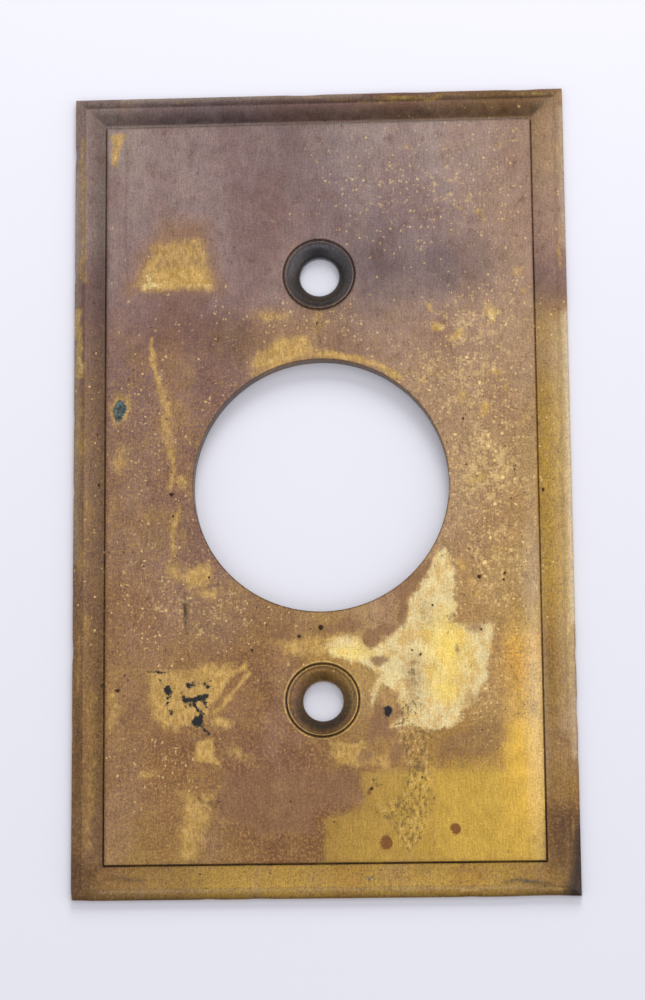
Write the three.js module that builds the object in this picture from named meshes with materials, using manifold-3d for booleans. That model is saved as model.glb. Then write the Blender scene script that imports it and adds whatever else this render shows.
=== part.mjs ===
// A cast brass wall plate for one round receptacle, lying on its back.
//
// Frame: millimetres, +Z out of the plate's face, +Y along its length. The origin is at
// the centre of the flat back, so the plate fills z = 0 to PLATE_THICKNESS.
import * as THREE from 'three';
import { mergeVertices } from 'three/addons/utils/BufferGeometryUtils.js';
import Module from 'manifold-3d';

const wasm = await Module();
wasm.setup();

const INCH = 25.4;

// Driving dimensions of a standard single-gang plate.
const PLATE_WIDTH = 2.75 * INCH;
const PLATE_LENGTH = 4.5 * INCH;
const PLATE_THICKNESS = 0.1 * INCH;
const RECEPTACLE_HOLE_RADIUS = 1.406 * INCH / 2;
const SCREW_SPACING = 2.375 * INCH;

// The moulded border, from the cut edge inwards: an upright edge, a steep rounded band up
// to a crease, a shallow hollow cove, and a small step up to the flat panel.
const EDGE_HEIGHT = 0.95;
const CREASE_INSET = 1.45;
const CREASE_HEIGHT = 1.62;
const BAND_BULGE = 0.04;
const COVE_END_INSET = 4.55;
const COVE_END_HEIGHT = 2.24;
const COVE_HOLLOW = 0.11;
const PANEL_INSET = 4.8;
const BAND_STEPS = 4;
const COVE_STEPS = 6;

// The broken edge around the face side of the receptacle hole.
const HOLE_EDGE_BREAK = 0.22;

// One screw hole: a plain bore through the back, a cone for an oval head, a narrow flat
// rim at the top of the cone, and a fine groove around the rim.
const BORE_RADIUS = 2.8;
const BORE_LAND = 0.95;
const CONE_RADIUS = 4.55;
const RIM_RADIUS = 4.9;
const RIM_DROP = 0.1;
const GROOVE_RADIUS = 5.18;
const GROOVE_DEPTH = 0.26;

// How far a cutting shape runs past the faces that it cuts.
const CUT_OVERRUN = 1;
const HOLE_SEGMENTS = 120;
const SCREW_SEGMENTS = 72;

const PATINATED_BRASS = new THREE.MeshStandardMaterial({
  name: 'patinated_brass',
  color: new THREE.Color(0.46, 0.33, 0.19),
  metalness: 0.9,
  roughness: 0.42,
});

// Points of a shallow arch from start to end, risen by rise at its middle, start left out.
function archPoints(start, end, rise, steps) {
  const points = [];
  for (let step = 1; step <= steps; step += 1) {
    const along = step / steps;
    const inset = THREE.MathUtils.lerp(start.x, end.x, along);
    const height = THREE.MathUtils.lerp(start.y, end.y, along);
    points.push(new THREE.Vector2(inset, height + 4 * rise * along * (1 - along)));
  }
  return points;
}

// The border's section as (inset from the outline, height) pairs, from the back upwards.
function borderSection() {
  const edgeTop = new THREE.Vector2(0, EDGE_HEIGHT);
  const crease = new THREE.Vector2(CREASE_INSET, CREASE_HEIGHT);
  const coveEnd = new THREE.Vector2(COVE_END_INSET, COVE_END_HEIGHT);
  return [
    new THREE.Vector2(0, 0),
    edgeTop,
    ...archPoints(edgeTop, crease, BAND_BULGE, BAND_STEPS),
    ...archPoints(crease, coveEnd, -COVE_HOLLOW, COVE_STEPS),
    new THREE.Vector2(PANEL_INSET, PLATE_THICKNESS),
  ];
}

// The four corners of the plate's rectangle at one point of the section.
function rectangleCorners({ x: inset, y: height }) {
  const halfWidth = PLATE_WIDTH / 2 - inset;
  const halfLength = PLATE_LENGTH / 2 - inset;
  return [
    -halfWidth, -halfLength, height,
    halfWidth, -halfLength, height,
    halfWidth, halfLength, height,
    -halfWidth, halfLength, height,
  ];
}

// The solid plate without holes: rectangles joined level by level, with mitred corners.
function blankPlate() {
  const section = borderSection();
  const vertices = section.flatMap(rectangleCorners);
  const triangles = [0, 2, 1, 0, 3, 2];
  for (let level = 0; level < section.length - 1; level += 1) {
    for (let corner = 0; corner < 4; corner += 1) {
      const lowerLeft = 4 * level + corner;
      const lowerRight = 4 * level + (corner + 1) % 4;
      triangles.push(lowerLeft, lowerRight, lowerRight + 4);
      triangles.push(lowerLeft, lowerRight + 4, lowerLeft + 4);
    }
  }
  const top = 4 * (section.length - 1);
  triangles.push(top, top + 1, top + 2, top, top + 2, top + 3);
  return solidFromArrays(vertices, triangles);
}

function solidFromArrays(vertices, triangles) {
  const mesh = new wasm.Mesh({
    numProp: 3,
    vertProperties: new Float32Array(vertices),
    triVerts: new Uint32Array(triangles),
  });
  return new wasm.Manifold(mesh);
}

// A solid of revolution about a line parallel to Z, from (radius, height) pairs.
function turnedSolid(pairs, segments, centreY) {
  const section = pairs.map(([radius, height]) => new THREE.Vector2(radius, height));
  const geometry = new THREE.LatheGeometry(section, segments);
  geometry.rotateX(Math.PI / 2);
  geometry.translate(0, centreY, 0);
  geometry.deleteAttribute('normal');
  geometry.deleteAttribute('uv');
  const merged = mergeVertices(geometry);
  return solidFromArrays(merged.attributes.position.array, merged.index.array);
}

function receptacleHoleCut() {
  const breakRadius = RECEPTACLE_HOLE_RADIUS + HOLE_EDGE_BREAK;
  return turnedSolid([
    [0, -CUT_OVERRUN],
    [RECEPTACLE_HOLE_RADIUS, -CUT_OVERRUN],
    [RECEPTACLE_HOLE_RADIUS, PLATE_THICKNESS - HOLE_EDGE_BREAK],
    [breakRadius, PLATE_THICKNESS],
    [breakRadius, PLATE_THICKNESS + CUT_OVERRUN],
    [0, PLATE_THICKNESS + CUT_OVERRUN],
  ], HOLE_SEGMENTS, 0);
}

function screwHoleCut(centreY) {
  const rimHeight = PLATE_THICKNESS - RIM_DROP;
  const grooveMiddle = (RIM_RADIUS + GROOVE_RADIUS) / 2;
  return turnedSolid([
    [0, -CUT_OVERRUN],
    [BORE_RADIUS, -CUT_OVERRUN],
    [BORE_RADIUS, BORE_LAND],
    [CONE_RADIUS, rimHeight],
    [RIM_RADIUS, rimHeight],
    [grooveMiddle, PLATE_THICKNESS - GROOVE_DEPTH],
    [GROOVE_RADIUS, PLATE_THICKNESS],
    [GROOVE_RADIUS, PLATE_THICKNESS + CUT_OVERRUN],
    [0, PLATE_THICKNESS + CUT_OVERRUN],
  ], SCREW_SEGMENTS, centreY);
}

function geometryFromSolid(solid) {
  const { vertProperties, triVerts } = solid.getMesh();
  const geometry = new THREE.BufferGeometry();
  geometry.setAttribute('position', new THREE.BufferAttribute(vertProperties, 3));
  geometry.setIndex(new THREE.BufferAttribute(triVerts, 1));
  return geometry;
}

function wallPlate() {
  const solid = blankPlate()
    .subtract(receptacleHoleCut())
    .subtract(screwHoleCut(SCREW_SPACING / 2))
    .subtract(screwHoleCut(-SCREW_SPACING / 2));
  const mesh = new THREE.Mesh(geometryFromSolid(solid), PATINATED_BRASS);
  mesh.name = 'wall_plate';
  return mesh;
}

const part = new THREE.Group();
part.add(wallPlate());

export default part;
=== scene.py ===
"""An old brass wall plate on a pale floor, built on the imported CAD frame.

Lengths are in millimetres until a mesh, a light or the camera is made, and then in metres.
The plate's own frame is used throughout: +Z out of its face, +Y along its length.
"""
import math

import bmesh
import bpy
import numpy as np
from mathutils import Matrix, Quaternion, Vector
from mathutils.geometry import delaunay_2d_cdt


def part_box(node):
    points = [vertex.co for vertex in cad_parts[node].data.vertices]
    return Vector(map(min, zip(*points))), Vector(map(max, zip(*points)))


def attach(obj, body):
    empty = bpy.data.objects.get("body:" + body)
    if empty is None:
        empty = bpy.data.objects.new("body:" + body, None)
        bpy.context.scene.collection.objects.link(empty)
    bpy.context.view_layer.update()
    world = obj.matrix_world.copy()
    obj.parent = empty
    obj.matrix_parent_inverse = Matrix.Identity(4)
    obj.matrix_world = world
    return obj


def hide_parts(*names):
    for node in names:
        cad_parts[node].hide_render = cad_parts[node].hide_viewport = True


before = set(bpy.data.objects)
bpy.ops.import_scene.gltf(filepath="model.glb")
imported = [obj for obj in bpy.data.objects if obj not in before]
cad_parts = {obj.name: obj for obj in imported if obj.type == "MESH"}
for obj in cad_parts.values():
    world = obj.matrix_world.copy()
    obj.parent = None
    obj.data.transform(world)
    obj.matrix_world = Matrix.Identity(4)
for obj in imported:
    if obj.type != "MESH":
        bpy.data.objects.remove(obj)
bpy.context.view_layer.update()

MM = 0.001
PLATE_NODE = "wall_plate"

# The plate's outline and thickness come from its CAD node, and its holes are a standard size.
NODE_LOW, NODE_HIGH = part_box(PLATE_NODE)
HALF_WIDTH = (NODE_HIGH[0] - NODE_LOW[0]) / MM / 2
HALF_LENGTH = (NODE_HIGH[1] - NODE_LOW[1]) / MM / 2
FACE_HEIGHT = (NODE_HIGH[2] - NODE_LOW[2]) / MM
INCH = 25.4
HOLE_RADIUS = 1.406 * INCH / 2
SCREW_OFFSET = 2.375 * INCH / 2
SCREW_CENTRES = ((0.0, SCREW_OFFSET), (0.0, -SCREW_OFFSET))

# The border's section, as (inset from the outline, height), from the cut edge to the panel.
EDGE_POINTS = ((0.0, 0.86), (0.05, 0.95), (0.12, 1.0))
CREASE = (1.45, 1.62)
BAND_BULGE = 0.04
COVE_END = (4.5, 2.24)
COVE_HOLLOW = 0.12
GROOVE_POINTS = ((4.62, 2.12), (4.72, 2.34), (4.8, 2.49), (4.9, 2.53))
# Along the top the step is filled and worn soft.
FILLED_STEP = ((4.62, 2.38), (4.72, 2.44), (4.8, 2.5), (4.9, 2.53))
BAND_STEPS = 7
COVE_STEPS = 12

# The section of a screw hole, as (radius, height): cone, bead, fine groove, face.
BORE_RADIUS = 2.8
SCREW_SECTION = (
    (BORE_RADIUS, 0.9), (2.85, 1.02), (3.1, 1.3), (3.4, 1.6), (3.7, 1.87), (4.0, 2.09), (4.25, 2.23),
    (4.45, 2.3), (4.55, 2.31), (4.62, 2.37), (4.7, 2.43), (4.78, 2.45), (4.87, 2.42), (4.94, 2.34),
    (5.0, 2.27), (5.08, 2.3), (5.16, 2.44), (5.24, 2.51), (5.36, 2.535),
)
CONE_TOP_RADIUS = 4.55
BEAD_FOOT_RADIUS = 4.5
BEAD_RADIUS = 4.82
SEAT_GROOVE_RADIUS = 5.03
SEAT_LIP_RADIUS = 5.3
HOLE_EDGE_ROUND = 0.24
HOLE_EDGE_STEPS = 5
HOLE_EDGE_DROP = 0.005
WALL_LEVELS = (0.6, 0.25, 0.06)

# Mesh spacing on the border, on the panel and on the back.
BORDER_SPACING = 0.5
PANEL_SPACING = 0.36
BACK_SPACING = 3.0
BACK_CLEARANCE = 1.0
LOOP_CLEARANCE = 0.2
WELD_DISTANCE = 0.004
HOLE_RING_COUNT = 300
SCREW_RING_COUNT = 96
SEED = 41


# --- Numbers over the plate ------------------------------------------------------------------


def arch(start, end, rise, steps):
    """Points of a shallow arch between two (inset, height) points, without its ends."""
    points = []
    for step in range(1, steps):
        along = step / steps
        inset = start[0] + (end[0] - start[0]) * along
        height = start[1] + (end[1] - start[1]) * along
        points.append((inset, height + 4 * rise * along * (1 - along)))
    return points


def border_section(step=GROOVE_POINTS):
    band = arch(EDGE_POINTS[-1], CREASE, BAND_BULGE, BAND_STEPS)
    cove = arch(CREASE, COVE_END, -COVE_HOLLOW, COVE_STEPS)
    return [*EDGE_POINTS, *band, CREASE, *cove, COVE_END, *step]


def hole_edge_section():
    """The rounded front edge of the receptacle hole, as (radius, height)."""
    section = []
    for step in range(HOLE_EDGE_STEPS + 1):
        turn = math.pi / 2 * step / HOLE_EDGE_STEPS
        radius = HOLE_RADIUS + HOLE_EDGE_ROUND * (1 - math.cos(turn))
        height = FACE_HEIGHT - HOLE_EDGE_DROP - HOLE_EDGE_ROUND * (1 - math.sin(turn))
        section.append((radius, height))
    return section


def lattice_noise(x, y, pitch, seed):
    """Smooth noise from 0 to 1 whose blobs are about pitch millimetres across."""
    cells = 256
    table = np.random.default_rng(seed).random((cells, cells))
    u, v = x / pitch + cells / 2, y / pitch + cells / 2
    i, j = np.floor(u).astype(int), np.floor(v).astype(int)
    s, t = u - i, v - j
    s, t = s * s * (3 - 2 * s), t * t * (3 - 2 * t)
    i, j, ii, jj = i % cells, j % cells, (i + 1) % cells, (j + 1) % cells
    near = table[i, j] * (1 - s) + table[ii, j] * s
    far = table[i, jj] * (1 - s) + table[ii, jj] * s
    return near * (1 - t) + far * t


def inset_from_outline(x, y):
    return np.minimum(HALF_WIDTH - np.abs(x), HALF_LENGTH - np.abs(y))


def nearest_the_top(x, y):
    return HALF_LENGTH - y < HALF_WIDTH - np.abs(x)


def screw_distance(x, y):
    return np.minimum(*(np.hypot(x - cx, y - cy) for cx, cy in SCREW_CENTRES))


def height_along(section, distance):
    """The section's height at each distance, and the face's height beyond its end."""
    places, heights = zip(*section)
    return np.interp(distance, places, heights, right=FACE_HEIGHT)


def smooth_height(x, y):
    """The plate's face without wear: border, panel, hole edge and screw seats."""
    insets, heights = zip(*border_section())
    _, top_heights = zip(*border_section(FILLED_STEP))
    inset = inset_from_outline(x, y)
    at_top, elsewhere = np.interp(inset, insets, top_heights), np.interp(inset, insets, heights)
    height = np.where(nearest_the_top(x, y), at_top, elsewhere)
    height = np.minimum(height, height_along(hole_edge_section(), np.hypot(x, y)))
    return np.minimum(height, height_along(SCREW_SECTION, screw_distance(x, y)))


# --- Stain shapes: each gives 0.5 on its edge, 1 well inside and 0 well outside ------------


# (pitch, reach) of the irregularity of every stain's outline.
WOBBLES = ((4.0, 0.7), (1.6, 0.55), (0.75, 0.4))
WOBBLE_SEED = 60


def soft_step(depth, soft):
    return np.clip(0.5 + depth / (2 * soft), 0, 1)


def spot(x, y, centre, size, soft=0.5, turn=0.0):
    """An ellipse with half axes size, turned by turn degrees."""
    angle = math.radians(turn)
    dx, dy = x - centre[0], y - centre[1]
    u = (dx * math.cos(angle) + dy * math.sin(angle)) / size[0]
    v = (dy * math.cos(angle) - dx * math.sin(angle)) / size[1]
    return soft_step((1 - np.hypot(u, v)) * min(size), soft)


def segment_distance(x, y, start, end):
    ex, ey = end[0] - start[0], end[1] - start[1]
    along = np.clip(((x - start[0]) * ex + (y - start[1]) * ey) / (ex * ex + ey * ey), 0, 1)
    return np.hypot(x - start[0] - along * ex, y - start[1] - along * ey)


def stroke(x, y, points, width, soft=0.3):
    """A line of the given width through the points."""
    pairs = zip(points, points[1:])
    nearest = np.min([segment_distance(x, y, start, end) for start, end in pairs], axis=0)
    return soft_step(width / 2 - nearest, soft)


def patch(x, y, points, soft=0.5):
    """A filled outline with straight sides."""
    inside = np.zeros(x.shape, bool)
    distances = []
    for start, end in zip(points, points[1:] + points[:1]):
        distances.append(segment_distance(x, y, start, end))
        crosses = (start[1] > y) != (end[1] > y)
        rise = end[1] - start[1] or 1e-9
        inside ^= crosses & (x < (end[0] - start[0]) * (y - start[1]) / rise + start[0])
    nearest = np.min(distances, axis=0)
    return soft_step(np.where(inside, nearest, -nearest), soft)


def ring_stain(x, y, centre, size, width, soft=0.3):
    radius = np.hypot((x - centre[0]) / size[0], (y - centre[1]) / size[1])
    return soft_step(width / 2 - np.abs(radius - 1) * min(size), soft)


def wobbled(x, y):
    """Places shifted a little, so that no stain keeps a drawn outline."""
    moved = []
    for axis, place in enumerate((x, y)):
        for pitch, reach in WOBBLES:
            seed = WOBBLE_SEED + axis + 2 * round(10 * pitch)
            place = place + reach * (lattice_noise(x, y, pitch, seed) - 0.5)
        moved.append(place)
    return moved


def layer(x, y, marks):
    """The strongest of several marks, listed by shape as (strength, *shape arguments)."""
    total = np.zeros(x.shape)
    for shape, listed in marks.items():
        for strength, *arguments in listed:
            total = np.maximum(total, strength * shape(x, y, *arguments))
    return total


# --- Where the patina changes and where reflection and shade are painted, in millimetres on the plate ---

# Broad tones of the tarnish, sRGB out of 255.
TONES = {
    "mauve": (164, 145, 136),
    "plum": (148, 127, 122),
    "slate": (132, 114, 113),
    "maroon": (132, 104, 97),
    "rosewood": (163, 134, 114),
    "russet": (144, 114, 92),
    "sienna": (145, 111, 74),
    "umber": (123, 86, 54),
    "wine": (132, 94, 78),
    "tan": (174, 144, 112),
    "ochre": (182, 149, 96),
    "bronze": (154, 121, 61),
    "gold": (190, 153, 68),
    "amber": (240, 190, 80),
}

# The (x, y, reach) of the swatches of each tone. A point takes the average of those near it.
SWATCHES = {
    "mauve": ((-28, 49, 5), (9, 47, 5), (18, 48, 5)),
    "plum": ((-17, 48, 6), (-28, 40, 5), (-17, 40, 6), (14, 38, 5), (-29, 31, 4), (-10, 32, 5)),
    "slate": ((-3, 47, 6), (4, 38, 5), (9, 31, 5), (18, 31, 4)),
    "maroon": (
        (-5, 39, 5), (-26, 23, 5), (-14, 23, 5), (-26, 13, 5), (-17, 15, 4), (-20, 3, 4),
        (-19, -8, 4),
    ),
    "rosewood": ((27, 48, 5), (27, 38, 5), (28, 30, 4), (11, 22, 4), (19, 21, 4)),
    "russet": ((0, 22, 4), (-27, 3, 5), (-27, -8, 5), (-17, -18, 4)),
    "sienna": ((-26, -18, 5), (-6, -20, 4), (-26, -27, 5), (-26, -37, 5), (-27, -46, 5)),
    "umber": (
        (-10, -28, 4), (-19, -40, 4), (-8, -35, 5), (-8, -43, 5), (3, -40, 4), (-10, -50, 4),
        (-3, -47, 4),
    ),
    "wine": (
        (-27, -33, 3), (-22, -44, 3), (-11, -30, 3), (-9, -38, 4), (-15, -44, 3), (-5, -41, 3),
        (2, -43, 2), (-25, -19, 3),
    ),
    "tan": (
        (27, 21, 5), (-4, 19, 3), (17, 14, 4), (26, 12, 5), (21, 3, 4), (20, -6, 4), (5, -19, 3),
    ),
    "ochre": (
        (27, 2, 5), (28, -9, 4), (22, -15, 4), (24, -30, 4), (7, -28, 3), (11, -32, 3), (9, -38, 3),
        (14, -20, 2),
    ),
    "bronze": (
        (9, -40, 3), (20, -37, 3), (-20, -49, 4), (4, -49, 3), (11, -49, 4), (2, -23, 3),
        (3, -37, 2), (-28, -50, 3), (-24, -49, 3), (-16, -50, 3), (15, -36, 2), (10, -44, 2),
    ),
    "gold": (
        (15, -41, 4), (22, -42, 4), (18, -49, 4), (26, -50, 4), (29, -18, 2), (3, -24, 3),
        (24.5, -47, 3),
    ),
    "amber": (
        (29, -26, 2.4), (29, -34, 2.4), (28.5, -42, 2.6), (28.5, -23, 1.8), (28.5, -30, 2),
        (28, -38, 2.4), (27.5, -46, 2),
    ),
}
BORDER_SWATCHES = {
    "mauve": ((-33, 52, 5), (-33, 38, 5)),
    "plum": ((-26, 55, 4),),
    "slate": ((-16, 55, 5),),
    "maroon": ((-33, 26, 5), (33, 29, 3), (0, 55, 6)),
    "rosewood": ((33, 38, 4),),
    "russet": ((-33, 12, 5), (-33, -8, 6), (14, 55, 5)),
    "sienna": ((-33, -28, 5), (-33, -38, 5), (26, 55, 5)),
    "umber": ((-33, -50, 5), (33, -49, 4)),
    "tan": ((33, 50, 5),),
    "ochre": ((33, 20, 4),),
    "bronze": ((33, -26, 4), (33, -38, 4), (-24, -55, 5), (30, -55, 3)),
    "gold": ((33, 6, 5), (33, -12, 6), (-8, -55, 6), (10, -55, 6), (22, -55, 5)),
}

# Below, each stain's marks, and those of the painted reflection and shade, are listed by shape, as
# (strength, *arguments of the shape).

# Bare golden brass, where the tarnish is worn or wiped off.
WORN = {
    patch: (
        (0.62, [(-26.2, 28.2), (-14.4, 28.2), (-15.4, 32), (-16.6, 36), (-23.4, 35.2),
                (-25.6, 31.5)], 1),
        (1, [(-25.2, 28.2), (-14.8, 28.2), (-16.4, 31.2), (-19, 32.4), (-24, 31.4)], 0.9),
        (0.75, [(-29.8, 51.6), (-27.7, 51.8), (-28.5, 46.5), (-29.6, 46.6)], 0.35),
        (0.72, [(-9.6, 15.3), (-9.2, 19), (-6, 20.8), (-1.5, 21), (0.2, 18.2), (-5, 17)], 0.9),
        (0.66, [(-24.2, -25.6), (-12, -24.8), (-15.4, -31), (-16, -34), (-22.4, -34),
                (-24.6, -30)], 0.8),
        (0.85, [(-17.8, -35.3), (-15, -35.3), (-15.1, -37.4), (-14.3, -39.4), (-18, -38.5)], 0.4),
        (0.6, [(-20, -42.5), (-14.2, -42), (-16, -47), (-17, -52), (-20, -52)], 1.2),
        (0.6, [(1, -35.8), (5.4, -35.6), (8, -38), (10.2, -35), (9, -40), (3, -39.4),
               (0.8, -38.4)], 0.5),
        (0.62, [(2, -20.8), (5, -21), (1, -24.4), (-4.5, -24.2), (-7, -21.8)], 0.7),
    ),
    stroke: (
        (0.8, [(-24.1, 21.6), (-23.7, 18.5), (-22.9, 14.8)], 0.8, 0.4),
        (0.62, [(-22.6, 14), (-21.8, 11), (-21.6, 7.6), (-21, 4.5)], 1.7, 0.9),
        (0.8, [(-20.9, 5.5), (-20.6, 3), (-21, -0.4)], 0.7, 0.4),
        (0.7, [(-20, -2.6), (-20.7, -6), (-20.6, -9.4)], 0.8, 0.4),
        (0.78, [(0, 18.5), (4, 18.2), (8, 16.8), (11, 15)], 1.2, 0.5),
        (0.85, [(-15.7, -30.6), (-13.2, -26.8), (-10.8, -24.9)], 0.9, 0.4),
        (0.8, [(-14.6, -31.6), (-12, -28.4), (-10.2, -26)], 0.8, 0.4),
        (0.95, [(-34.3, 25.4), (-34.2, 21), (-34.3, 16.6)], 1.2, 0.4),
        (0.72, [(-33.9, 51), (-33.7, 30)], 0.7, 0.45),
        (0.56, [(-32.3, -28), (-32.2, -50)], 1.4, 0.9), (0.5, [(-34, -20), (-34, -27)], 0.8, 0.6),
        (0.55, [(-33.6, 34), (-33.4, 30.5)], 1.2, 0.6), (0.55, [(-34, 13), (-34, 9)], 0.8, 0.5),
        (0.52, [(-2, 56.4), (34, 56.4)], 0.5, 0.4),
        (0.74, [(9, 56.2), (14, 56), (18, 56.3)], 1, 0.4), (0.6, [(34.2, 37), (34, 31)], 0.7, 0.4),
        (0.58, [(34.2, 24), (34.2, -26)], 0.7, 0.4),
    ),
    spot: (
        (0.55, (-20.4, -12), (1.2, 1.6), 0.8), (0.62, (-19.6, 0.6), (1, 1), 0.7),
        (0.6, (-0.3, 22.8), (1, 2.2), 0.7), (0.55, (-7, 24.4), (3.2, 1.1), 0.8, -10),
        (0.75, (16.6, 22.2), (0.9, 0.8), 0.4), (0.7, (19.4, 21), (1.5, 0.6), 0.4, 8),
        (0.72, (15.9, 24.8), (0.6, 0.4), 0.3), (0.75, (24.3, 24.2), (0.7, 1.7), 0.5, 12),
        (0.6, (28, 30), (0.9, 0.6), 0.4, 30), (0.6, (28.6, 27.4), (0.5, 0.6), 0.3),
        (0.62, (12.5, 48.5), (0.6, 0.5), 0.4), (0.6, (26, 48.6), (0.6, 0.7)),
        (0.6, (22.9, 39), (0.6, 0.5), 0.4), (0.62, (23, 9.8), (0.9, 0.6), 0.4, 20),
        (0.6, (-28, 11.2), (1.8, 2.6), 0.7), (0.55, (-28, 4), (1.2, 2.4), 0.9),
        (0.68, (-17.2, -12.6), (2.6, 1.7), 0.7, 35), (0.6, (-15.6, -15), (2, 1), 0.7),
        (0.72, (-14, -33.2), (1.6, 1), 0.6), (0.6, (-11.5, -37.5), (2.2, 1), 1, -30),
        (0.55, (-29, -30.5), (1.4, 4.5), 1), (0.6, (-24, -40), (2, 0.5), 0.5, 10),
        (0.6, (-33.9, 6), (0.7, 2.2), 0.7), (0.56, (-32.8, -1.6), (0.6, 1.6), 0.6, 10),
        (0.6, (-33.8, -10), (0.7, 3), 0.7), (0.56, (-32.6, -19), (0.8, 2.4), 0.8),
        (0.72, (20.2, 11.8), (0.5, 0.9), 0.4, 15), (0.85, (23.1, 10.4), (0.6, 0.7), 0.35, 20),
        (0.7, (24.3, 15.3), (1.3, 0.5), 0.4, 10), (0.66, (25.8, 13.3), (0.5, 1), 0.4),
        (0.66, (14.5, 14.2), (0.6, 0.4), 0.4, 40), (0.66, (28.8, 8.7), (0.4, 0.9), 0.4, -30),
        (0.7, (22, 0.6), (1.2, 0.7), 0.5, 30), (0.66, (25.2, 1), (0.5, 0.4), 0.4),
        (0.72, (19.3, -11.7), (0.7, 1), 0.5, 20), (0.66, (24.5, -10), (0.9, 0.5)),
        (0.7, (20.4, -14), (0.5, 0.8), 0.4), (0.7, (21.3, -15.6), (0.9, 0.5), 0.4, 15),
        (0.72, (20, 39.3), (0.3, 0.6), 0.35, 20), (0.72, (22.5, 39), (0.45, 0.4), 0.35),
        (0.66, (23.7, 37.7), (0.3, 0.8), 0.35, 20), (0.72, (15.7, 25.4), (0.6, 0.4), 0.35),
        (0.72, (19.9, 21.8), (0.9, 0.45), 0.4, 20),
    ),
}

# Smooth brushed metal with nearly straight edges, where a label or a strap once lay.
POLISHED = {
    patch: (
        (0.95, [(14.9, -39.8), (24.8, -39.9), (25, -34), (29.9, -33), (29.9, -52.6),
                (14.6, -52.6)], 1.6),
        (0.75, [(5.1, -40.2), (14.9, -40), (15.2, -52.6), (0.2, -52.6), (-0.6, -46),
                (5, -45)], 0.9),
    ),
}

# Pale yellow metal in a large irregular patch beside the lower screw.
PALE = {
    patch: (
        (0.95, [(16.8, -9.2), (17.9, -10.6), (18.3, -14), (18.6, -17.4), (18, -19.6),
                (23.7, -19.9), (23.4, -25), (22.5, -28), (20.8, -31), (18.4, -33.3), (15.4, -34.7),
                (12.4, -33.8), (8.8, -34.3), (11, -32), (10.4, -29.4), (8.6, -28.2), (6.4, -31.2),
                (6.6, -28.6), (8.4, -26.6), (5, -25.2), (1.4, -24.6), (0.4, -22.6), (1.6, -21.4),
                (5.4, -21.8), (6.6, -23.2), (8.2, -22.4), (10, -20.8), (11.4, -19), (11.8, -17),
                (12.8, -15.8), (14.8, -13), (15.2, -10.6)], 0.8),
    ),
    stroke: (
        (0.66, [(-24.8, 28.9), (-22.2, 29.2)], 1.1, 0.7),
        (0.5, [(-21, 28.7), (-15, 28.8)], 0.7, 0.5),
        (0.62, [(-34.2, 19.4), (-34.2, 16.6)], 0.7, 0.4),
    ),
    spot: (
        (0.72, (3.4, -22.8), (3.4, 0.9)), (0.55, (-23.8, 30.4), (0.8, 1.4), 0.6),
        (0.6, (24.4, 23.8), (0.4, 1.2), 0.3, 12), (0.6, (16.8, 22.2), (0.5, 0.5), 0.3),
        (0.6, (-22.6, 16), (0.4, 1), 0.4),
    ),
}
# The warmer yellow in the middle of that patch.
YELLOW = {
    spot: (
        (0.9, (17.2, -23.6), (2.4, 4), 2), (0.8, (17, -29), (1.6, 1.4), 1.2),
        (0.7, (4, -23.8), (2.4, 0.8), 0.8),
    ),
}

# Brown islands of tarnish left inside the worn patches.
ISLANDS = {
    patch: (
        (0.85, [(10.2, -15), (13.4, -12.4), (15.4, -10.4), (14.4, -13), (12.2, -15.8),
                (10.8, -18.6)], 0.4),
        (0.85, [(7, -30.6), (9.2, -31.4), (9.4, -34.6), (10.6, -36), (6, -36), (6.2, -33)], 0.5),
        (0.55, [(15, -35.6), (19, -34.4), (23.4, -32.5), (24.4, -28), (25.2, -36), (23, -39),
                (15, -39)], 1),
        (0.6, [(-14.6, -39.6), (5, -39.6), (5, -44.8), (-1, -45), (-1.4, -48.6), (-9, -49),
               (-14.4, -45)], 0.6),
    ),
    spot: (
        (0.9, (6.9, -21.7), (1.2, 1.3), 0.4), (0.8, (3.9, -20.2), (2, 1.2)),
        (0.85, (8.8, -20.4), (1.4, 0.8), 0.4, 20), (0.9, (7.8, -24.7), (1.2, 0.7), 0.35),
        (0.85, (11.1, -18.6), (0.8, 1.6), 0.4), (0.75, (20.8, -20.4), (1.6, 0.9), 0.7),
        (0.7, (18.7, -23.6), (0.6, 0.8)), (0.6, (12.4, -26.4), (1.2, 1.6), 1),
        (0.75, (5.8, -38), (1.5, 1.2), 0.4, 20), (0.7, (9.7, -37.8), (1, 1.9)),
        (0.75, (7.6, -38.8), (0.5, 0.4), 0.25), (0.5, (24.6, -22), (1, 4), 1),
        (0.62, (12.4, -27.6), (1.7, 4.4), 1.6, 8), (0.6, (10.4, -32), (1.6, 1.4), 0.9),
        (0.5, (14.6, -18.4), (1.4, 2.6), 1.4, 20), (0.5, (20.6, -30.2), (2.2, 1.4), 1.2, 40),
        (0.62, (1.2, -20.4), (2.4, 0.8), 0.6), (0.62, (-5, -20.6), (2.6, 1.2), 0.8),
    ),
}

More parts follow.
